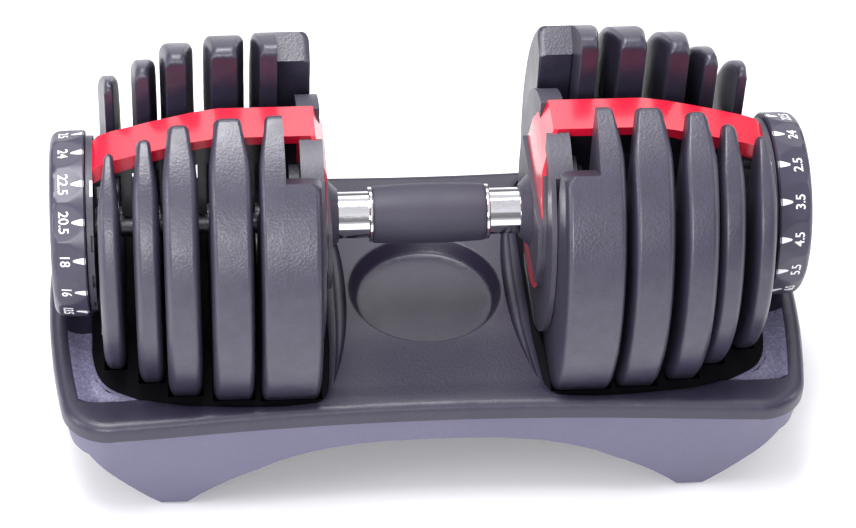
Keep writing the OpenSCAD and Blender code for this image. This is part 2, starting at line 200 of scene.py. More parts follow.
def glossy(name, colour, rough=0.22, dust=0.2, coat=0.5, inner=None):
    """Smooth gloss plastic with faint orange peel, fine dust and soft handling marks.
    inner gives (mask, colour) pairs for the stretches that have another colour."""
    m = Tree(name)
    cloud = m.noise(14, 4, 0.55, seed=0.7)
    tone = m.mix(m.ramp(cloud, 0.35, 0.7), shade(colour, 0.9), shade(colour, 1.08))
    for mask, other in inner(m) if inner else ():
        tone = m.mix(mask, tone, other)
    specks = m.ramp(m.noise(1500, 2, 0.5, seed=3.1), 0.66, 0.78, 0, dust)
    m.colour(m.mix(specks, tone, shade(linear(225, 220, 225), 1.0)))
    scuffs = m.noise(45, 4, 0.55, seed=5.5)
    m.rough(m.ramp(scuffs, 0.35, 0.7, rough - 0.03, rough + 0.06))
    m.shader.inputs["Coat Weight"].default_value = coat
    m.shader.inputs["Coat Roughness"].default_value = 0.14
    m.bump(m.noise(900, 2, 0.5, seed=6.0), 0.04, 0.0001)
    return m.material


def metal(name, colour, rough=0.2, brushed=(40, 400, 400), bump=0.05):
    """Metal with fine lines along X and patches of haze."""
    m = Tree(name)
    lines = m.noise(6, 4, 0.6, place=m.scaled(brushed), seed=2.7)
    haze = m.noise(35, 5, 0.6, seed=8.1)
    m.colour(m.mix(m.ramp(lines, 0.3, 0.7), shade(colour, 0.88), shade(colour, 1.05)))
    m.rough(m.math("ADD", m.ramp(lines, 0.3, 0.7, rough * 0.75, rough * 1.15),
                   m.ramp(haze, 0.45, 0.75, 0, 0.08)))
    m.shader.inputs["Metallic"].default_value = 1.0
    m.bump(lines, bump, 0.0001)
    return m.material


def marking(name, colour):
    """Printed white mark: a slightly uneven, matt ink film."""
    m = Tree(name)
    worn = m.ramp(m.noise(900, 4, 0.6, seed=3.3), 0.3, 0.62)
    m.colour(m.mix(worn, shade(colour, 0.82), colour))
    m.rough(m.ramp(m.noise(300, 3, 0.5), 0.3, 0.7, 0.42, 0.6))
    m.bump(m.noise(1600, 2, 0.5), 0.1, 0.0001)
    return m.material


# Painted shade under the bridge, in metres: the webs under the roof are painted near black where
# shade falls. The roof's underside runs level at WEB_TOP as far as WEB_BEND and then falls by
# WEB_SLOPE; the painted shade lies within WEB_HALF of the middle
WEB_FROM, WEB_BEND, WEB_TOP, WEB_SLOPE, WEB_HALF = 0.0715, 0.112, 0.1855, 0.366, 0.0096
# Grey flanks of its shield: beyond FLANK_Y across, from x to x; at FLANK_FULL_Y right through
FLANK_FROM, FLANK_TO, FLANK_Y, FLANK_FULL_Y = 0.0566, 0.0665, 0.023, 0.034
# painted shade: near black laid over the red of the webs, standing in for the shade under the
# bridge's roof
WEB_PAINTED_SHADE = (0.006, 0.005, 0.008, 1)
FRAME_GREY = (0.045, 0.041, 0.06, 1)


def bridge_shade_and_flanks(m):
    """Masks and colours of what is not red: painted shade, near black, on the webs under the
    bridge's roof, and the grey flanks of its shield."""
    axes = m.add("ShaderNodeSeparateXYZ")
    m.link(m.place, axes.inputs["Vector"])
    x = m.math("ABSOLUTE", axes.outputs["X"], 0.0)
    y = m.math("ABSOLUTE", axes.outputs["Y"], 0.0)
    fall = m.math("MULTIPLY", m.math("SUBTRACT", x, WEB_BEND), WEB_SLOPE)
    roof = m.math("MINIMUM", WEB_TOP, m.math("SUBTRACT", WEB_TOP, fall))
    low = m.math("LESS_THAN", axes.outputs["Z"], roof)
    narrow = m.math("LESS_THAN", y, WEB_HALF)
    # painted shade on the webs below the roof's underside, near the middle
    shade_under_roof = m.math("MULTIPLY", m.math("MULTIPLY", low, narrow), m.math("GREATER_THAN", x, WEB_FROM))
    inboard = m.math("LESS_THAN", x, FLANK_TO)
    wide = m.math("MULTIPLY", m.math("GREATER_THAN", y, FLANK_Y),
                  m.math("GREATER_THAN", x, FLANK_FROM))
    full = m.math("GREATER_THAN", y, FLANK_FULL_Y)
    shield = m.math("MULTIPLY", m.math("MAXIMUM", wide, full), inboard)
    return [(shade_under_roof, WEB_PAINTED_SHADE), (shield, FRAME_GREY)]


PLATE = moulded("plate_coating", (0.023, 0.02, 0.037, 1), rough=0.4, grain=1300, depth=0.3,
                specular=0.7)
TRAY = moulded("cradle_charcoal", (0.015, 0.012, 0.029, 1), rough=0.48, grain=1300, depth=0.35,
               coat=0.25)
POCKET = moulded("cradle_sparkle", (0.12, 0.115, 0.18, 1), rough=0.42, grain=620, depth=0.7,
                 speckle=0.8)
# grey plastic of the base, lighter than the tray's; part of the lightness is painted light,
# standing in for the floor's light on the front-facing skirt
BASE_GREY_AND_PAINTED_LIGHT = moulded("cradle_grey", (0.105, 0.1, 0.16, 1), rough=0.52, grain=1400, depth=0.16,
               speckle=0.15)
# black plastic of the wells, darkened further as painted shade: the deep shade inside the wells,
# where light does not reach
WELL_BLACK_AND_SHADE = moulded("cradle_black", (0.002, 0.0018, 0.003, 1), rough=0.7, grain=900, depth=0.25,
               speckle=0.15, worn=0.15, specular=0.12)
FRAME_PLASTIC = moulded("frame_plastic", FRAME_GREY, rough=0.45, grain=1000, depth=0.22)
# inner paints near-black shade under the bridge's roof over the red, and grey shield flanks
RED = glossy("red_plastic", (0.6, 0.005, 0.03, 1), rough=0.34, dust=0.06, coat=0.5,
             inner=bridge_shade_and_flanks)
DIAL = glossy("dial_plastic", (0.036, 0.032, 0.058, 1), rough=0.36, dust=0.06, coat=0.12)
GRIP = moulded("grip_rubber", (0.034, 0.03, 0.052, 1), rough=0.55, grain=2200, depth=0.15,
               speckle=0.12)
CHROME = metal("chrome", (0.78, 0.77, 0.8, 1), rough=0.07, bump=0.015)
ZINC = metal("zinc_steel", (0.56, 0.57, 0.6, 1), rough=0.32)
STEEL = metal("dark_steel", (0.1, 0.1, 0.115, 1), rough=0.4)
SELECTOR = metal("selector_steel", (0.16, 0.16, 0.18, 1), rough=0.38)
RUBBER = moulded("foot_rubber", (0.014, 0.014, 0.016, 1), rough=0.75, grain=700, depth=0.5,
                 speckle=0.2)
WHITE = marking("white_mark", linear(246, 244, 246))

SLOTS = {
    "cradle_charcoal": TRAY, "cradle_grey": BASE_GREY_AND_PAINTED_LIGHT, "cradle_black": WELL_BLACK_AND_SHADE,
    "foot_rubber": RUBBER, "zinc_steel": ZINC, "dark_steel": STEEL, "chrome": CHROME,
    "grip_rubber": GRIP, "frame_plastic": FRAME_PLASTIC, "red_plastic": RED,
    "white_mark": WHITE, "dial_plastic": DIAL, "plate_coating": PLATE,
    "selector_steel": SELECTOR,
}

# ---------------------------------------------------------------- mesh helpers


def world(side, points):
    """Head coordinates in millimetres to the row frame in metres."""
    p = np.array(points, float).reshape(-1, 3)
    s = -1 if side == "left" else 1
    return np.stack([s * p[:, 0], s * p[:, 1], p[:, 2] + AXIS_Z], 1) * MM


def floor_frame(points):
    """Millimetres over the floor to metres."""
    return np.array(points, float).reshape(-1, 3) * MM


def piece(name, points, faces, slot, body, stands_for=(), edge=None, crease=35):
    """A shown mesh piece from points in metres, riding on a body."""
    mesh = bpy.data.meshes.new(name)
    mesh.from_pydata([tuple(p) for p in points], [], [tuple(int(i) for i in f) for f in faces])
    mesh.validate()
    mesh.update()
    if edge is not None:
        attribute = mesh.attributes.new("edge", "FLOAT", "POINT")
        attribute.data.foreach_set("value", np.asarray(edge, np.float32))
    mesh.polygons.foreach_set("use_smooth", [True] * len(mesh.polygons))
    if crease:
        mesh.set_sharp_from_angle(angle=math.radians(crease))
    mesh.materials.append(SLOTS[slot])
    obj = bpy.data.objects.new(name, mesh)
    bpy.context.scene.collection.objects.link(obj)
    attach(obj, body)
    if stands_for:
        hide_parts(*stands_for)
    return obj


def weighted(obj):
    """Shading that keeps flat faces flat beside their rounded edges."""
    modifier = obj.modifiers.new("weighted", "WEIGHTED_NORMAL")
    modifier.keep_sharp = True
    return obj


def outward(points, faces):
    """The faces, turned over if the closed surface they make is inside out."""
    p = np.asarray(points, float)
    volume = 0.0
    for f in faces:
        a = p[f[0]]
        for i in range(1, len(f) - 1):
            volume += np.dot(a, np.cross(p[f[i]], p[f[i + 1]]))
    return faces if volume > 0 else [tuple(reversed(f)) for f in faces]


def lathe(profile, columns, closed=False):
    """Surface round the X axis: profile is a list of [x, r], or a function of the
    angle that gives one. Returns head points and faces."""
    points, faces = [], []
    for c in range(columns):
        angle = TAU * c / columns
        rows = profile(angle) if callable(profile) else profile
        for x, r in rows:
            points.append((x, r * math.sin(angle), r * math.cos(angle)))
    n = len(points) // columns
    for c in range(columns):
        d = (c + 1) % columns
        for k in range(n if closed else n - 1):
            j = (k + 1) % n
            faces.append((c * n + k, c * n + j, d * n + j, d * n + k))
    return points, faces


def arc(cx, cy, r, start, stop, steps):
    """Points on a circle, angles in degrees."""
    return [(cx + r * math.cos(math.radians(start + (stop - start) * i / steps)),
             cy + r * math.sin(math.radians(start + (stop - start) * i / steps)))
            for i in range(steps + 1)]


def soften(obj, width, segments=2, angle=38):
    """Rounds the edges of a CAD node's shown mesh with modifiers."""
    weld = obj.modifiers.new("weld", "WELD")
    weld.merge_threshold = 2e-6
    bevel = obj.modifiers.new("round", "BEVEL")
    bevel.width = width * MM
    bevel.segments = segments
    bevel.limit_method = "ANGLE"
    bevel.angle_limit = math.radians(angle)
    bevel.use_clamp_overlap = True
    bevel.harden_normals = False
    obj.data.polygons.foreach_set("use_smooth", [True] * len(obj.data.polygons))
    weighted(obj)


# ---------------------------------------------------------------- plates

# Plates from the outermost in: x of the inner and outer face, radius, how far the faces
# are ground back at the mouth of the slot, and the rounding of the rim towards each face
PLATE_IN = (163.5, 143.5, 123.5, 96.5, 79.5)
PLATE_OUT = (174.7, 156.8, 141.5, 118.0, 92.7)
PLATE_R = (78.0, 86.0, 94.3, 97.7, 98.8)
MOUTH_IN = (2.1, 3.1, 3.5, 4.0, 0.5)
MOUTH_OUT = (4.0, 2.6, 3.2, 3.2, 3.7)
SEAM = 0.04  # rounding where the thick block meets its plate
RIM_IN = (3.4, 3.6, 3.8, 3.4, SEAM)
RIM_OUT = (4.2, 4.4, 4.6, 4.2, 3.4)
DEEP = 1.9  # how much deeper the rims' rounding runs down the faces than across the rim
RIM_WEAR = (0.15, 0.75)  # at the face and on the rim, of 1 for fully rubbed
SLOT_WEAR = 0.6
SLOT_HALF = 25.3
SLOT_ROUND, INNER_SLOT_ROUND, BLOCK_SLOT_ROUND = 1.6, 0.5, 1.2
TIP_FILLET = 4.5
# The mouth's grinding is full within MOUTH_FULL of the middle, gone at MOUTH_Y, and comes
# in over MOUTH_RISE above MOUTH_LOW
MOUTH_Y, MOUTH_FULL, MOUTH_LOW, MOUTH_RISE = 55.0, 27.0, 22.0, 18.0
# Thick block on the innermost plate: inner face, slot, the facet's two corners, rim
BLOCK_IN, BLOCK_SLOT, BLOCK_LOW_Z, BLOCK_CORNER, BLOCK_RIM = 61.4, 47.5, 68.5, (62, 77), 3.6
# Hook under each slot, as x from the plate's inner face and z, and its half width
HOOK = ((3.7, -17.0), (10.6, -17.0), (10.6, -27.0), (7.6, -27.0), (7.6, -19.2), (3.7, -19.2))
HOOK_HALF = 3.2


def round_rows(half, radius, tip, wall_top, start=0.0, rows=80):
    """(inner, outer, distance from the horn's top) for points that run from one horn, at
    the angle tip, down to the bottom of a U-shaped disc."""
    pairs = []
    for i in range(rows + 1):
        phi = tip + (math.pi - tip) * i / rows
        y, z = radius * math.sin(phi), radius * math.cos(phi)
        if z > 0:
            inner = (half, wall_top * z / (radius * math.cos(tip)))
        else:
            inner = (half * math.sin(phi), half * math.cos(phi))
        pairs.append((inner, (y, z), start + radius * (phi - tip)))
    return pairs


def both_horns(pairs):
    """The same rows carried on from the bottom up to the other horn."""
    return pairs + [((-a[0], a[1]), (-b[0], b[1]), d) for a, b, d in reversed(pairs[:-1])]


def u_rows(half, radius, fillet, tip_rows=6):
    """Rows of a plate, whose horns have rounded tops."""
    turn_z = math.sqrt((radius - fillet) ** 2 - (half + fillet) ** 2)
    tip = math.atan2(half + fillet, turn_z)
    # the fillet runs from the slot's wall (180 degrees) to the rim's direction
    rim_side = 90 - math.degrees(tip)
    middle = (180 + rim_side) / 2
    pairs = []
    for i in range(tip_rows):
        spread = (180 - middle) * (0.1 + 0.9 * i / tip_rows)
        ends = []
        for angle in (middle + spread, middle - spread):
            a = math.radians(angle)
            ends.append((half + fillet + fillet * math.cos(a), turn_z + fillet * math.sin(a)))
        pairs.append((*ends, fillet * (1 - math.cos(math.radians(spread)))))
    start = fillet * (1 - math.cos(math.radians(180 - middle)))
    return both_horns(pairs + round_rows(half, radius, tip, turn_z, start))


def round_in(drop, radius):
    """How far a rounded end has drawn in, this distance from its top."""
    rest = radius - min(drop, radius)
    return radius - math.sqrt(radius ** 2 - rest ** 2)


def horseshoe(pairs, low, high, r_low, r_high, mouth=(0, 0), r_slot=SLOT_ROUND, face=6):
    """A U-shaped disc as (points, faces, edge): rounded rim, softened slot, and
    faces that are ground back in a smooth curve towards the mouth of the slot."""
    points, edge = [], []
    middle = (low + high) / 2
    for (iy, iz), (oy, oz), drop in pairs:
        span = math.hypot(oy - iy, oz - iz)
        dy, dz = (oy - iy) / span, (oz - iz) / span
        fade = smooth((max(iz, oz) - MOUTH_LOW) / MOUTH_RISE)
        fit = min(1.0, 0.8 * span / (DEEP * max(r_low, r_high) + r_slot))
        deep_low, deep_high = DEEP * r_low * fit, DEEP * r_high * fit
        deep_slot = r_slot * fit

        def put(x, depth, worn):
            """Adds the row's point at x, this deep under the rim."""
            y, z = oy - dy * depth, oz - dz * depth
            share = fade * smooth((MOUTH_Y - abs(y)) / (MOUTH_Y - MOUTH_FULL))
            k = (x - middle) / (high - middle)
            x -= share * (mouth[1] * max(0, k) - mouth[0] * max(0, -k))
            x -= round_in(drop, r_high) * max(0, k) - round_in(drop, r_low) * max(0, -k)
            points.append((x, y, z))
            edge.append(worn)

        for x, d in arc(low + r_low, r_low, r_low, 180, 270, 6):
            put(x, d * deep_low / r_low, RIM_WEAR[0] if x < low + r_low else RIM_WEAR[1])
        for x, d in arc(high - r_high, r_high, r_high, 270, 360, 6):
            put(x, d * deep_high / r_high, RIM_WEAR[0] if x > high - r_high else RIM_WEAR[1])
        for k in range(1, face):
            put(high, deep_high + (span - deep_high - deep_slot) * k / face, 0.0)
        for x, d in arc(high - r_slot, 0, r_slot, 0, 90, 3):
            put(x, span - deep_slot + d * deep_slot / r_slot, SLOT_WEAR)
        for x, d in arc(low + r_slot, 0, r_slot, 90, 180, 3):
            put(x, span - deep_slot + d * deep_slot / r_slot, SLOT_WEAR)
        for k in range(1, face):
            put(low, span - deep_slot - (span - deep_low - deep_slot) * k / face, 0.0)
    n = len(points) // len(pairs)
    faces = []
    for row in range(len(pairs) - 1):
        a, b = row * n, (row + 1) * n
        for k in range(n):
            j = (k + 1) % n
            faces.append((a + k, a + j, b + j, b + k))
    faces.append(tuple(range(n))[::-1])
    last = (len(pairs) - 1) * n
    faces.append(tuple(range(last, last + n)))
    return points, outward(points, faces), edge


def extruded(outline, half, r=0.3):
    """A shape drawn in x and z run along y, with its long edges chamfered."""
    n = len(outline)
    cx = sum(p[0] for p in outline) / n
    cz = sum(p[1] for p in outline) / n
    points, faces = [], []
    for y, inset in ((-half, r), (-half + r, 0), (half - r, 0), (half, r)):
        for x, z in outline:
            d = math.hypot(x - cx, z - cz)
            points.append((x - (x - cx) / d * inset, y, z - (z - cz) / d * inset))
    for row in range(3):
        for k in range(n):
            j = (k + 1) % n
            faces.append((row * n + k, row * n + j, (row + 1) * n + j, (row + 1) * n + k))
    faces.append(tuple(range(n))[::-1])
    faces.append(tuple(range(3 * n, 4 * n)))
    return points, outward(points, faces)


def joined(*parts):
    """Several (points, faces, edge) meshes as one."""
    points, faces, edge = [], [], []
    for part in parts:
        base = len(points)
        points += list(part[0])
        faces += [tuple(base + i for i in f) for f in part[1]]
        edge += list(part[2]) if len(part) > 2 else [0.0] * len(part[0])
    return points, faces, edge


def build_plate(side, i):
    """One slotted plate with its hook; the innermost has a thick block, whose horns end
    in a sloping facet."""
    low, high, radius = PLATE_IN[i], PLATE_OUT[i], PLATE_R[i]
    innermost = i == len(PLATE_R) - 1
    pairs = u_rows(SLOT_HALF, radius, TIP_FILLET)
    mouth = (MOUTH_IN[i], MOUTH_OUT[i])
    parts = [horseshoe(pairs, low, high, RIM_IN[i], RIM_OUT[i], mouth,
                       INNER_SLOT_ROUND if innermost else SLOT_ROUND)]
    if innermost:
        tip = math.atan2(*BLOCK_CORNER)
        pairs = both_horns(round_rows(BLOCK_SLOT, radius, tip, BLOCK_LOW_Z))
        parts.append(horseshoe(pairs, BLOCK_IN, low, BLOCK_RIM, SEAM, r_slot=BLOCK_SLOT_ROUND))
    parts.append(extruded([(low + x, z) for x, z in HOOK], HOOK_HALF))
    points, faces, edge = joined(*parts)
    name = f"{side}_plate_{i + 1}"
    obj = piece(f"{side}_weight_plate_{i + 1}", world(side, points), faces, "plate_coating",
                f"{side}_weight_{i + 1}", [name], edge, crease=38)
    return weighted(obj)


for side in SIDES:
    for index in range(len(PLATE_R)):
        build_plate(side, index)

# ---------------------------------------------------------------- dials

DIAL_IN, DIAL_OUT, DIAL_R = 181.5, 200.0, 49.5
DIAL_ROUND = 6.0
DIAL_CHAMFER, DIAL_LAND = 0.8, 1.4
SCALLOP, SCALLOP_FROM, SCALLOP_RUN = 1.55, 1.2, 14.0  # depth, start and length of the facets
# Outer face with its ring groove and the recess of the screw, as x from DIAL_OUT, and radius
DIAL_FACE = ((0, 40.2), (-0.7, 39.4), (-0.7, 37.4), (0, 36.6), (0, 22), (0, 7.0), (-0.5, 6.1),
             (-2.2, 6.0), (-2.2, 2.1))
# Bore and hollow back, as x and radius
DIAL_BORE_X, DIAL_BORE_R, DIAL_HUB_R, DIAL_BACK_R = 192.0, 2.1, 8.0, 33.0
DIAL_BACK_DEEP, DIAL_WALL_R, DIAL_REST_R = 2.6, 41.4, 46.5
DETENT_R, DETENT_HALF = 44.4, 2.6 / 43  # notch under each number: radius and half angle
STEPS = 15
# Numbers: letter height, x of their base line, and how far they sink in and stand out
GLYPH_SIZE, GLYPH_X, GLYPH_LIFT, GLYPH_HALF = 7.3, 195.1, 0.06, 0.09
# White pointers, as x and half width from the inboard edge on, and their inner and outer skin
POINTER = ((182.0, 1.75), (183.2, 1.87), (186.2, 1.2), (188.2, 0.55), (188.6, 0.0))
POINTER_SKINS = (-0.1, 0.14)
NUMBERS = ("24", "22.5", "20.5", "18", "16", "13.5", "11.5", "10", "9", "8", "6.5", "5.5",
           "4.5", "3.5", "2.5")


def from_step(angle):
    """Angle to the nearest of the dial's numbers."""
    step = TAU / STEPS
    return (angle + step / 2) % step - step / 2


def dial_radius(angle, x):
    """Rim of the dial at an angle from the top: round, with a flat tilted
    facet under each number."""
    if x < DIAL_IN + DIAL_CHAMFER:
        r = DIAL_R - DIAL_CHAMFER + (x - DIAL_IN)
    elif x > DIAL_OUT - DIAL_ROUND:
        t = (x - DIAL_OUT + DIAL_ROUND) / DIAL_ROUND
        r = DIAL_R - DIAL_ROUND * (1 - math.sqrt(max(0.0, 1 - t * t)))
    else:
        r = DIAL_R
    deep = SCALLOP * min(1.0, max(0.0, (x - DIAL_IN - SCALLOP_FROM) / SCALLOP_RUN)) ** 0.8
    return min(r, (DIAL_R - deep) / math.cos(from_step(angle)))


def dial_profile(angle):
    """Closed outline of the dial at an angle from the top, as (x, radius)."""
    start, stop = DIAL_IN + DIAL_LAND, DIAL_OUT - DIAL_ROUND
    xs = [DIAL_IN, DIAL_IN + 0.4, DIAL_IN + DIAL_CHAMFER, start]
    xs += [start + (DIAL_OUT - DIAL_ROUND - DIAL_IN - DIAL_LAND) * k / 11 for k in range(1, 12)]
    xs += [stop + DIAL_ROUND * math.sin(math.radians(a)) for a in (12, 24, 36, 48, 58, 68, 78, 90)]
    rows = [(x, dial_radius(angle, x)) for x in xs]
    rows += [(DIAL_OUT + x, r) for x, r in DIAL_FACE]
    back = DIAL_IN + DIAL_BACK_DEEP
    wall = DETENT_R if abs(from_step(angle)) < DETENT_HALF else DIAL_WALL_R
    return rows + [(DIAL_BORE_X, DIAL_BORE_R), (DIAL_BORE_X, DIAL_HUB_R), (DIAL_IN, DIAL_HUB_R),
                   (DIAL_IN, DIAL_BACK_R), (back, DIAL_BACK_R), (back, wall), (DIAL_IN, wall),
                   (DIAL_IN, DIAL_REST_R)]


def wrapped_number(label, step):
    """One number as flat glyph solids laid on its facet of the dial."""
    curve = bpy.data.curves.new("glyphs", "FONT")
    curve.body = label
    curve.size = GLYPH_SIZE
    curve.align_x = "CENTER"
    curve.space_character = 0.97
    curve.offset = 0.05
    curve.extrude = GLYPH_HALF
    curve.resolution_u = 4
    holder = bpy.data.objects.new("glyphs", curve)
    bpy.context.scene.collection.objects.link(holder)
    bpy.context.view_layer.update()
    mesh = bpy.data.meshes.new_from_object(
        holder.evaluated_get(bpy.context.evaluated_depsgraph_get()))
    points = []
    for v in mesh.vertices:
        x = GLYPH_X - v.co.y
        angle = step * TAU / STEPS + v.co.x / DIAL_R
        r = dial_radius(angle, x) + GLYPH_LIFT + v.co.z
        points.append((x, r * math.sin(angle), r * math.cos(angle)))
    faces = [tuple(p.vertices) for p in mesh.polygons]
    bpy.data.objects.remove(holder)
    bpy.data.curves.remove(curve)
    bpy.data.meshes.remove(mesh)
    return points, faces


def pointer(step):
    """White tapered pointer, wide at the inboard edge, bent round the dial."""
    shares = (-1, -0.5, 0, 0.5, 1)
    points, faces = [], []
    for lift in POINTER_SKINS:
        for x, half in POINTER:
            for share in shares:
                angle = step * TAU / STEPS + half * share / DIAL_R
                r = dial_radius(angle, x) + lift
                points.append((x, r * math.sin(angle), r * math.cos(angle)))
    width, length = len(shares), len(POINTER)
    layer = width * length
    for r in range(length - 1):
        for c in range(width - 1):
            a = r * width + c
            faces.append((a, a + 1, a + width + 1, a + width))
            faces.append(tuple(layer + k for k in (a + width, a + width + 1, a + 1, a)))
    border = ([c for c in range(width)] + [r * width + width - 1 for r in range(1, length)]
              + [(length - 1) * width + c for c in range(width - 2, -1, -1)]
              + [r * width for r in range(length - 2, 0, -1)])
    for k, a in enumerate(border):
        b = border[(k + 1) % len(border)]
        faces.append((a, layer + a, layer + b, b))
    return points, outward(points, faces)


def build_dial(side):
    """Dial knob with its raised numbers and pointers."""
    points, faces = lathe(dial_profile, STEPS * 24, closed=True)
    body = f"{side}_dial_unit"
    obj = piece(f"{side}_dial_knob", world(side, points), outward(points, faces), "dial_plastic",
                body, [f"{side}_dial"], crease=30)
    weighted(obj)
    marks = joined(*[wrapped_number(label, k) for k, label in enumerate(NUMBERS)])
    piece(f"{side}_dial_numbers", world(side, marks[0]), marks[1], "white_mark", body, crease=40)
    marks = joined(*[pointer(k) for k in range(STEPS)])
    piece(f"{side}_dial_pointers", world(side, marks[0]), marks[1], "white_mark", body, crease=40)


for side in SIDES:
    build_dial(side)

# ---------------------------------------------------------------- handle


# Rubber grip: half length, radius in the middle and at the ends, bore over the tube
GRIP_HALF, GRIP_MID_R, GRIP_END_R, GRIP_BORE = 30.4, 16.2, 15.2, 12.6
GRIP_ROUND, GRIP_STEPS = 1.0, 14
# Rings beside it: gap, width, radius, the rounding towards the grip with the x where it
# ends, and the rounding away from the grip
RING_GAP, RING_W, RING_R = 0.02, 2.0, 14.8
RING_IN_ROUND, RING_IN_X, RING_OUT_ROUND = 0.4, 0.45, 0.7
LATHE_COLUMNS = 128


def build_grip():
    """Rubber grip, thicker in the middle, and the two polished rings beside it."""
    inner = GRIP_END_R - GRIP_ROUND
    rows = [(-GRIP_HALF, GRIP_BORE)] + arc(-GRIP_HALF + GRIP_ROUND, inner, GRIP_ROUND, 180, 90, 4)
    for k in range(-GRIP_STEPS, GRIP_STEPS + 1):
        x = (GRIP_HALF - 1.4 * GRIP_ROUND) * k / GRIP_STEPS
        rows.append((x, GRIP_MID_R - (GRIP_MID_R - GRIP_END_R) * (x / GRIP_HALF) ** 2))
    rows += arc(GRIP_HALF - GRIP_ROUND, inner, GRIP_ROUND, 90, 0, 4) + [(GRIP_HALF, GRIP_BORE)]
    points, faces = lathe(rows, LATHE_COLUMNS, closed=True)
    piece("rubber_grip", world("right", points), outward(points, faces), "grip_rubber", "handle",
          ["grip_sleeve"], crease=30)
    near, far = GRIP_HALF + RING_GAP, GRIP_HALF + RING_W
    ring = [(near, GRIP_BORE), (near, RING_R - RING_IN_ROUND)]
    ring += arc(GRIP_HALF + RING_IN_X, RING_R - RING_IN_ROUND, RING_IN_ROUND, 180, 90, 3)
    ring += arc(far - RING_OUT_ROUND, RING_R - RING_OUT_ROUND, RING_OUT_ROUND, 90, 0, 5)
    ring.append((far, GRIP_BORE))
    parts = []
    for s in (-1, 1):
        points, faces = lathe([(s * x, r) for x, r in ring], LATHE_COLUMNS, closed=True)
        parts.append((points, outward(points, faces)))
    points, faces, _ = joined(*parts)
    piece("grip_end_rings", world("right", points), faces, "chrome", "handle", ["grip_rings"])


build_grip()

# ---------------------------------------------------------------- cradle tray

DECK_Z, JOINT_Z = 71.0, 61.0
# Plan: half sizes, how far the corners flare out beyond HALF_Y and from which x, radii of
# the corners and of the bowed ends, and how softly the flare meets the straight stretch
HALF_X, HALF_Y, FLARE, FLARE_X, CORNER_R, END_R = 205.0, 94.0, 8.0, 160.0, 26.0, 460.0
FLARE_SOFT = 1.2
RIM_R = 5.0
CROWN, CROWN_RUN = 0.9, 12
SKIN = 2.6  # thickness of the shell
WEAR_AT, WEAR_WIDTH, WEAR = 1.6, 2.2, 0.8  # rubbed band along the rim
# Recess at each end: distance from the end where it starts, length of its slope, depth,
# the start and width of its front and back walls, its inner end, and how far and by what
# share it rises towards the well's mouth
RECESS_EDGE, RECESS_RUN, RECESS_DEEP, RECESS_X = 9.5, 10.5, 5.6, 140
RECESS_Y, RECESS_WALL = 80.8, 2.4
RISE_FROM, RISE_RUN, RISE_SHARE = 3.2, 9, 0.66
POCKET_X, POCKET_Y = 150, 27.0  # where the recess has the coarse grain
# Crescent beside each well: half length, depth, and the share of its width for each line
# of points across it
CRESCENT_Y, CRESCENT_FADE, CRESCENT_DEEP = 75, 10, 1.6
LIP_STEPS = (-0.12, 0.0, 0.06, 0.16, 0.3, 0.5, 0.7, 0.84, 0.94, 1.0, 1.12)
# Grid that fills the plan: steps along x and y, how far it keeps off lips and mouths
GRID_X, GRID_Y, LIP_CLEAR, MOUTH_CLEAR = 5.0, 4.4, 1.5, 5.6
# Dish: centre, and its section as radius and height over the deck
DISH_Y = -1.5
DISH = ((0, -9), (34, -9), (36.6, -8.85), (37.8, -8.2), (38.5, -7.0), (41.2, -1.2),
        (41.6, -0.55), (42.2, -0.15), (43.2, 0), (500, 0))
DISH_LINES = (36.6, 37.8, 38.5, 39.9, 41.2, 41.6, 42.2, 43.2)
# Posts that push the lock sliders up: x, half width, and height and inset of each layer
POST_X, POST_Y, POST_LAYERS = (177, 180.6), 5, ((69.0, 0), (72.0, 0), (72.6, 0.6))
# Mouth of a plate well, half of it, and the rounding and hanging depth of its edge
MOUTH_ROUND, MOUTH_EDGE, MOUTH_UNDER_Z = 1.3, 3.6, 68.05
MOUTH = ((55.4, 0), (55.4, 42), (57.6, 78), (61.4, 86.7), (82, 88.8), (104, 88.3), (134, 85.3),
         (152, 80.3), (172, 69.3), (178, 60.3), (181, 45), (181, 10), (176.4, 10), (176.4, 0))


def plan_outline(inset):
    """Outline of the cradle seen from above, counter-clockwise, drawn in by inset."""
    waist_r = (FLARE_X ** 2 + FLARE ** 2) / (2 * FLARE) + inset
    cx = HALF_X - END_R
    flat = HALF_Y + FLARE - inset
    corner = CORNER_R - inset
    centre_y = HALF_Y + FLARE - CORNER_R
    centre_x = cx + math.sqrt((END_R - CORNER_R) ** 2 - centre_y ** 2)
    quarter = []
    end_angle = math.atan2(centre_y, centre_x - cx)
    for k in range(12):
        a = end_angle * k / 12
        quarter.append((cx + (END_R - inset) * math.cos(a), (END_R - inset) * math.sin(a)))
    for k in range(15):
        a = end_angle + (math.pi / 2 - end_angle) * k / 14
        quarter.append((centre_x + corner * math.cos(a), centre_y + corner * math.sin(a)))
    for k in range(1, 41):
        x = centre_x * (1 - k / 40)
        y = HALF_Y + waist_r - inset - math.sqrt(waist_r ** 2 - x * x)
        over = (y - flat) / FLARE_SOFT
        y -= FLARE_SOFT * (math.log1p(math.exp(over)) if over < 30 else over)
        quarter.append((x, y))
    half = quarter + [(-x, y) for x, y in reversed(quarter[:-1])]
    return half + [(x, -y) for x, y in reversed(half[1:-1])]


def rounded_polygon(points, passes):
    """Corner cutting, which turns a polygon into a smooth closed curve."""
    for _ in range(passes):
        cut = []
        for k, (ax, ay) in enumerate(points):
            bx, by = points[(k + 1) % len(points)]
            cut.append((ax * 0.75 + bx * 0.25, ay * 0.75 + by * 0.25))
            cut.append((ax * 0.25 + bx * 0.75, ay * 0.25 + by * 0.75))
        points = cut
    return points


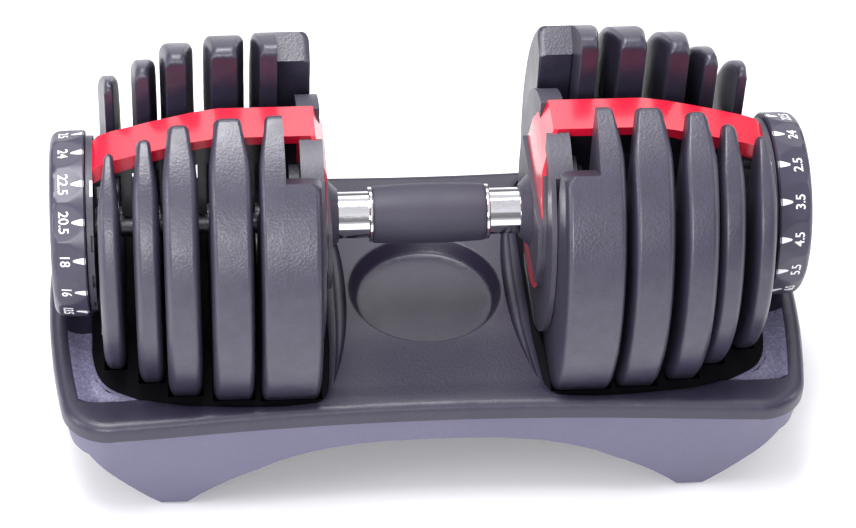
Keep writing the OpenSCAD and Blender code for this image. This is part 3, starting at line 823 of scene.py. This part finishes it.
def mouth_outline(side):
    """Mouth of a plate well seen from above, with softened corners."""
    s = -1 if side == "left" else 1
    ring = list(MOUTH) + [(x, -y) for x, y in reversed(MOUTH[1:-1])]
    dense = []
    for k, (ax, ay) in enumerate(ring):
        bx, by = ring[(k + 1) % len(ring)]
        steps = max(1, int(math.hypot(bx - ax, by - ay) / 9))
        dense += [(ax + (bx - ax) * j / steps, ay + (by - ay) * j / steps) for j in range(steps)]
    return [(s * x, s * y) for x, y in rounded_polygon(dense, 2)]


def moved_out(ring, distance):
    """A counter-clockwise ring pushed outwards."""
    area = sum(a[0] * b[1] - b[0] * a[1] for a, b in zip(ring, ring[1:] + ring[:1]))
    out = []
    for k, (x, y) in enumerate(ring):
        ax, ay = ring[k - 1]
        bx, by = ring[(k + 1) % len(ring)]
        tx, ty = bx - ax, by - ay
        size = math.hypot(tx, ty) or 1.0
        sign = 1 if area > 0 else -1
        out.append((x + sign * ty / size * distance, y - sign * tx / size * distance))
    return out


def distance_to(ring, xy):
    """Shortest distance from each point to a closed ring."""
    a = np.array(ring)
    b = np.roll(a, -1, 0)
    best = np.full(len(xy), 1e9)
    for p, q in zip(a, b):
        d = q - p
        t = np.clip(((xy - p) @ d) / max(d @ d, 1e-9), 0, 1)
        best = np.minimum(best, np.hypot(*(xy - p - t[:, None] * d).T))
    return best


def inside(ring, xy):
    """Which points lie inside a closed ring."""
    a = np.array(ring)
    b = np.roll(a, -1, 0)
    odd = np.zeros(len(xy), bool)
    for p, q in zip(a, b):
        crosses = (p[1] > xy[:, 1]) != (q[1] > xy[:, 1])
        slope = (q[0] - p[0]) / (q[1] - p[1] if q[1] != p[1] else 1e-9)
        odd ^= crosses & (xy[:, 0] < p[0] + slope * (xy[:, 1] - p[1]))
    return odd


def lip_lines(y):
    """The two edges of the shallow crescent beside each well."""
    t = (np.abs(y) / 73.0) ** 2.2
    return 43.6 + 10.6 * t, 50.3 + 4.2 * t


def end_line(y):
    """x of the cradle's bowed end."""
    return HALF_X - END_R + np.sqrt(END_R ** 2 - y * y)


def tray_height(xy, from_edge, from_mouth):
    """Height of the tray's top surface at points seen from above."""
    x, y = np.abs(xy[:, 0]), np.abs(xy[:, 1])
    z = np.full(len(xy), DECK_Z)
    r = np.clip((RIM_R - from_edge) / RIM_R, 0, 1)
    z -= RIM_R * (1 - np.sqrt(1 - r * r))
    crown = np.clip((from_edge - RIM_R) / CROWN_RUN, 0, 1)
    z -= CROWN * crown ** 2
    # recess at the ends: a slope down from the rim, and a steep wall along the front and back
    slope = np.clip((end_line(y) - RECESS_EDGE - x) / RECESS_RUN, 0, 1)
    wall = np.clip((RECESS_Y - y) / RECESS_WALL, 0, 1)
    deep = RECESS_DEEP * np.minimum(slope, wall)
    deep[x < RECESS_X] = 0
    rise = np.clip(1 - (from_mouth - RISE_FROM) / RISE_RUN, 0, 1)
    deep *= 1 - RISE_SHARE * rise
    z -= deep
    # crescent between the two lip lines
    first, second = lip_lines(y)
    t = np.clip((x - first) / (second - first), 0, 1)
    fade = np.clip((CRESCENT_Y - y) / CRESCENT_FADE, 0, 1)
    z -= CRESCENT_DEEP * np.sin(math.pi * t) ** 0.75 * fade
    # mouths of the wells
    r = np.clip((MOUTH_ROUND - from_mouth) / MOUTH_ROUND, 0, 1)
    z -= MOUTH_ROUND * (1 - np.sqrt(1 - r * r))
    d = np.hypot(xy[:, 0], xy[:, 1] - DISH_Y)
    return z + np.interp(d, *zip(*DISH))


def plan_points():
    """Points of the tray's plan and the edges that the triangles must keep."""
    rings = [plan_outline(k) for k in (0.0, 0.25, 0.9, 1.9, 3.2, 5.0, 7.0)]
    mouths = [mouth_outline(side) for side in SIDES]
    for ring in mouths:
        rings += [ring] + [moved_out(ring, k) for k in (0.4, MOUTH_ROUND, 4.2)]
    for r in DISH_LINES:
        rings.append([(r * math.cos(TAU * k / 96), DISH_Y + r * math.sin(TAU * k / 96))
                      for k in range(96)])
    lines = []
    lip_ys, end_ys = np.linspace(-CRESCENT_Y, CRESCENT_Y, 61), np.linspace(-84, 84, 61)
    for s in (-1, 1):
        first, second = lip_lines(lip_ys)
        for share in LIP_STEPS:
            lines.append(list(zip(s * (first + (second - first) * share), lip_ys)))
        for step in (RECESS_EDGE, RECESS_EDGE + RECESS_RUN):
            lines.append(list(zip(s * (end_line(end_ys) - step), end_ys)))
        for t in (-1, 1):
            for y in (POCKET_Y, RECESS_Y - RECESS_WALL, RECESS_Y):
                lines.append([(s * x, t * y) for x in np.linspace(148, 196, 17)])
    points, edges = [], []
    for ring in rings:
        base = len(points)
        points += [Vector(p) for p in ring]
        edges += [(base + k, base + (k + 1) % len(ring)) for k in range(len(ring))]
    for line in lines:
        base = len(points)
        points += [Vector((float(a), float(b))) for a, b in line]
        edges += [(base + k, base + k + 1) for k in range(len(line) - 1)]
    # an even grid fills the rest, clear of the crescents' and the mouths' lines
    grid = np.array([(x + (row % 2) * GRID_X / 2, y)
                     for row, y in enumerate(np.arange(-100, 100.1, GRID_Y))
                     for x in np.arange(-204, 204.1, GRID_X)])
    low, high = lip_lines(grid[:, 1])
    x, y = np.abs(grid).T
    free = (y > CRESCENT_Y + 1) | (x < low - LIP_CLEAR) | (x > high + LIP_CLEAR)
    for ring in mouths:
        free &= distance_to(ring, grid) > MOUTH_CLEAR
    points += [Vector((float(a), float(b))) for a, b in grid[free]]
    return points, edges, rings[0], mouths


def plan_triangles():
    """Triangles of the tray's plan without the wells' mouths, and the two outlines."""
    points, edges, outline, mouths = plan_points()
    verts, _, tris, _, _, _ = delaunay_2d_cdt(points, edges, [], 0, 0.02)
    xy = np.array([(v.x, v.y) for v in verts])
    tris = np.array([t for t in tris if len(t) == 3])
    centre = xy[tris].mean(1)
    keep = inside(outline, centre)
    for ring in mouths:
        keep &= ~inside(ring, centre)
    tris = tris[keep]
    used = np.unique(tris)
    renumber = np.full(len(xy), -1)
    renumber[used] = np.arange(len(used))
    return xy[used], renumber[tris], outline, mouths


def lock_post(base, s):
    """Post that pushes a lock slider up: a block with a chamfered top."""
    points, faces = [], []
    for z, r in POST_LAYERS:
        points += [(s * x, y, z) for x, y in (
            (POST_X[0] + r, -POST_Y + r), (POST_X[1] - r, -POST_Y + r),
            (POST_X[1] - r, POST_Y - r), (POST_X[0] + r, POST_Y - r))]
    for layer in (0, 4):
        for k in range(4):
            j = (k + 1) % 4
            faces.append((base + layer + k, base + layer + j, base + layer + 4 + j,
                          base + layer + 4 + k))
    faces += [(base + 3, base + 2, base + 1, base), (base + 8, base + 9, base + 10, base + 11)]
    return points, faces if s > 0 else [tuple(reversed(f)) for f in faces]


def build_tray():
    """Tray of the cradle: one closed shell under a surface triangulated from above."""
    xy, tris, outline, mouths = plan_triangles()
    from_edge = distance_to(outline, xy)
    from_mouth = np.minimum(*(distance_to(ring, xy) for ring in mouths))
    top = tray_height(xy, from_edge, from_mouth)
    under = np.where(from_mouth < MOUTH_EDGE, MOUTH_UNDER_Z, top - SKIN)
    under = np.minimum(under, top - 0.25)
    under = np.where(from_edge < SKIN, JOINT_Z, under)
    n = len(xy)
    body = [(x, y, z) for (x, y), z in zip(xy, top)] + [(x, y, z) for (x, y), z in zip(xy, under)]
    faces = [tuple(t) for t in tris] + [tuple(n + i for i in reversed(t)) for t in tris]
    sides = {}
    for t in tris:
        for side in ((t[0], t[1]), (t[1], t[2]), (t[2], t[0])):
            sides[side] = 1
    faces += [(b, a, n + a, n + b) for a, b in sides if (b, a) not in sides]
    for s in (-1, 1):
        points, more = lock_post(len(body), s)
        body += points
        faces += more
    edge = np.zeros(len(body))
    edge[:n] = np.clip(1 - np.abs(from_edge - WEAR_AT) / WEAR_WIDTH, 0, 1) * WEAR
    obj = piece("cradle_tray_shell", floor_frame(body), faces, "cradle_charcoal", "cradle",
                ["cradle_tray"], edge, crease=32)
    # the floors of the corner recesses have a coarser, brighter grain
    obj.data.materials.append(POCKET)
    marks = np.zeros(len(obj.data.polygons), np.int32)
    for k, t in enumerate(tris):
        cx, cy = np.abs(xy[t].mean(0))
        if POCKET_X < cx < end_line(cy) - RECESS_EDGE and POCKET_Y < cy < RECESS_Y - RECESS_WALL:
            marks[k] = 1
    obj.data.polygons.foreach_set("material_index", marks)


build_tray()

# ---------------------------------------------------------------- carried-over CAD nodes

# Rounding of the edges of the CAD nodes that are shown as they are, in millimetres
ROUNDED = {
    "hub": 1.4, "hub_cover": 1.1, "bridge": 1.0, "end_plate": 0.5, "bridge_screws": 0.3,
    "lock_slider": 0.25, "dial_screw": 0.3, "selector_shaft": 0.4, "plate_well": 0.6,
    "rubber_feet": 0.4, "cradle_screws": 0.3, "handle_tube": 0.3, "axle_rod": 0.4,
}
FINISH = {
    "cradle_tray": TRAY, "cradle_base": BASE_GREY_AND_PAINTED_LIGHT, "rubber_feet": RUBBER, "cradle_screws": ZINC,
    "axle_rod": STEEL, "handle_tube": CHROME, "grip_sleeve": GRIP, "grip_rings": CHROME,
    "plate_well": WELL_BLACK_AND_SHADE, "hub": FRAME_PLASTIC, "hub_cover": FRAME_PLASTIC, "bridge": RED,
    "end_plate": FRAME_PLASTIC, "bridge_screws": ZINC, "index_mark": WHITE, "detent_ball": ZINC,
    "detent_spring": ZINC, "lock_spring": ZINC, "lock_slider": STEEL, "dial": DIAL,
    "dial_screw": STEEL, "selector_shaft": SELECTOR,
}


def finish_of(part):
    """Material of a CAD node, from its name without the side."""
    if part in FINISH:
        return FINISH[part]
    return SELECTOR if part.startswith("selector_disc") else PLATE


for name, obj in nodes.items():
    part = name.split("_", 1)[1] if name.startswith(("left_", "right_")) else name
    if part in ROUNDED:
        soften(obj, ROUNDED[part])
    elif part == "cradle_base":
        soften(obj, 1.5, 3)
    obj.data.materials.clear()
    obj.data.materials.append(finish_of(part))

# ---------------------------------------------------------------- stage, light, camera

FLOOR = 4.0  # half size of the floor, in metres

def stage():
    """Pale floor that the cradle stands on."""
    mesh = bpy.data.meshes.new("floor")
    mesh.from_pydata([(-FLOOR, -FLOOR, 0), (FLOOR, -FLOOR, 0), (FLOOR, FLOOR, 0),
                      (-FLOOR, FLOOR, 0)], [], [(0, 1, 2, 3)])
    m = Tree("pale_floor")
    m.colour(m.mix(m.ramp(m.noise(3, 3), 0.3, 0.7), (0.86, 0.86, 0.88, 1), (0.9, 0.9, 0.91, 1)))
    m.rough(m.ramp(m.noise(20, 3), 0.3, 0.7, 0.75, 0.85))
    mesh.materials.append(m.material)
    obj = bpy.data.objects.new("floor", mesh)
    bpy.context.scene.collection.objects.link(obj)


# Name, place, what it points at, size, watts and colour
LAMPS = (
    ("overhead", (-0.2, 0.1, 1.6), (0, 0, 0.1), (1.0, 0.6), 27, (1, 1, 1)),
    ("behind", (0.1, 1.9, 1.6), (0, 0, 0.15), (2.6, 0.8), 14, (1, 1, 1)),
    ("front", (-0.5, -1.7, 1.0), (0, 0, 0.08), (1.0, 0.6), 24, (1, 0.98, 1)),
    ("left_side", (-1.6, -0.4, 0.7), (0, 0, 0.1), (0.5, 0.9), 12, (0.95, 0.96, 1)),
    ("right_side", (1.6, -0.1, 0.7), (0, 0, 0.1), (0.5, 0.9), 6, (0.97, 0.97, 1)),
)


def area_light(name, place, target, size, power, colour):
    """A rectangular lamp that points at a target."""
    lamp = bpy.data.lights.new(name, "AREA")
    lamp.shape = "RECTANGLE"
    lamp.size, lamp.size_y = size
    lamp.energy = power
    lamp.color = colour
    obj = bpy.data.objects.new(name, lamp)
    obj.location = place
    obj.rotation_euler = (Vector(target) - Vector(place)).to_track_quat("-Z", "Y").to_euler()
    bpy.context.scene.collection.objects.link(obj)


def grey(value):
    """A very slightly cool grey."""
    return (value, value, value * 1.04, 1)


# Brightness of the studio round the object by height, from the horizon up
SKY = [(0.0, grey(0.7)), (0.18, grey(0.25)), (0.5, grey(0.3)), (0.62, grey(1.0)), (1.0, grey(0.8))]


def lights():
    """Studio backdrop and lamps."""
    backdrop = bpy.data.worlds.new("studio")
    backdrop.use_nodes = True
    tree = backdrop.node_tree
    surface = tree.nodes["Background"]
    surface.inputs["Strength"].default_value = 1.0
    place = tree.nodes.new("ShaderNodeTexCoord")
    axes = tree.nodes.new("ShaderNodeSeparateXYZ")
    bands = tree.nodes.new("ShaderNodeValToRGB")
    tree.links.new(place.outputs["Generated"], axes.inputs["Vector"])
    tree.links.new(axes.outputs["Z"], bands.inputs["Fac"])
    tree.links.new(bands.outputs["Color"], surface.inputs["Color"])
    stops = bands.color_ramp.elements
    stops[0].position, stops[0].color = SKY[0][0], SKY[0][1]
    stops[1].position, stops[1].color = SKY[-1][0], SKY[-1][1]
    for position, colour in SKY[1:-1]:
        stops.new(position).color = colour
    bpy.context.scene.world = backdrop
    for lamp in LAMPS:
        area_light(*lamp)


# The photograph's viewpoint, fitted: turns in radians, place in metres, focal length in
# millimetres
YAW, PITCH, ROLL = 0.12018637, 0.74320375, 0.05103024
EYE, LENS = (-0.13334558, -1.11525529, 1.11899126), 117.4095


def camera():
    """Camera at the photograph's viewpoint."""
    yaw, pitch, roll = YAW, PITCH, ROLL
    ahead = Vector((math.sin(yaw) * math.cos(pitch), math.cos(yaw) * math.cos(pitch),
                    -math.sin(pitch)))
    right = Vector((math.cos(yaw), -math.sin(yaw), 0))
    up = right.cross(ahead)
    x = math.cos(roll) * right + math.sin(roll) * up
    y = -math.sin(roll) * right + math.cos(roll) * up
    data = bpy.data.cameras.new("camera")
    data.sensor_width = 36
    data.lens = LENS
    data.clip_end = 20
    obj = bpy.data.objects.new("camera", data)
    turn = Matrix((x, y, -ahead)).transposed()
    obj.matrix_world = Matrix.Translation(EYE) @ turn.to_4x4()
    bpy.context.scene.collection.objects.link(obj)
    bpy.context.scene.camera = obj


stage()
lights()
camera()
bpy.context.scene.view_settings.view_transform = "Standard"

bpy.context.view_layer.update()
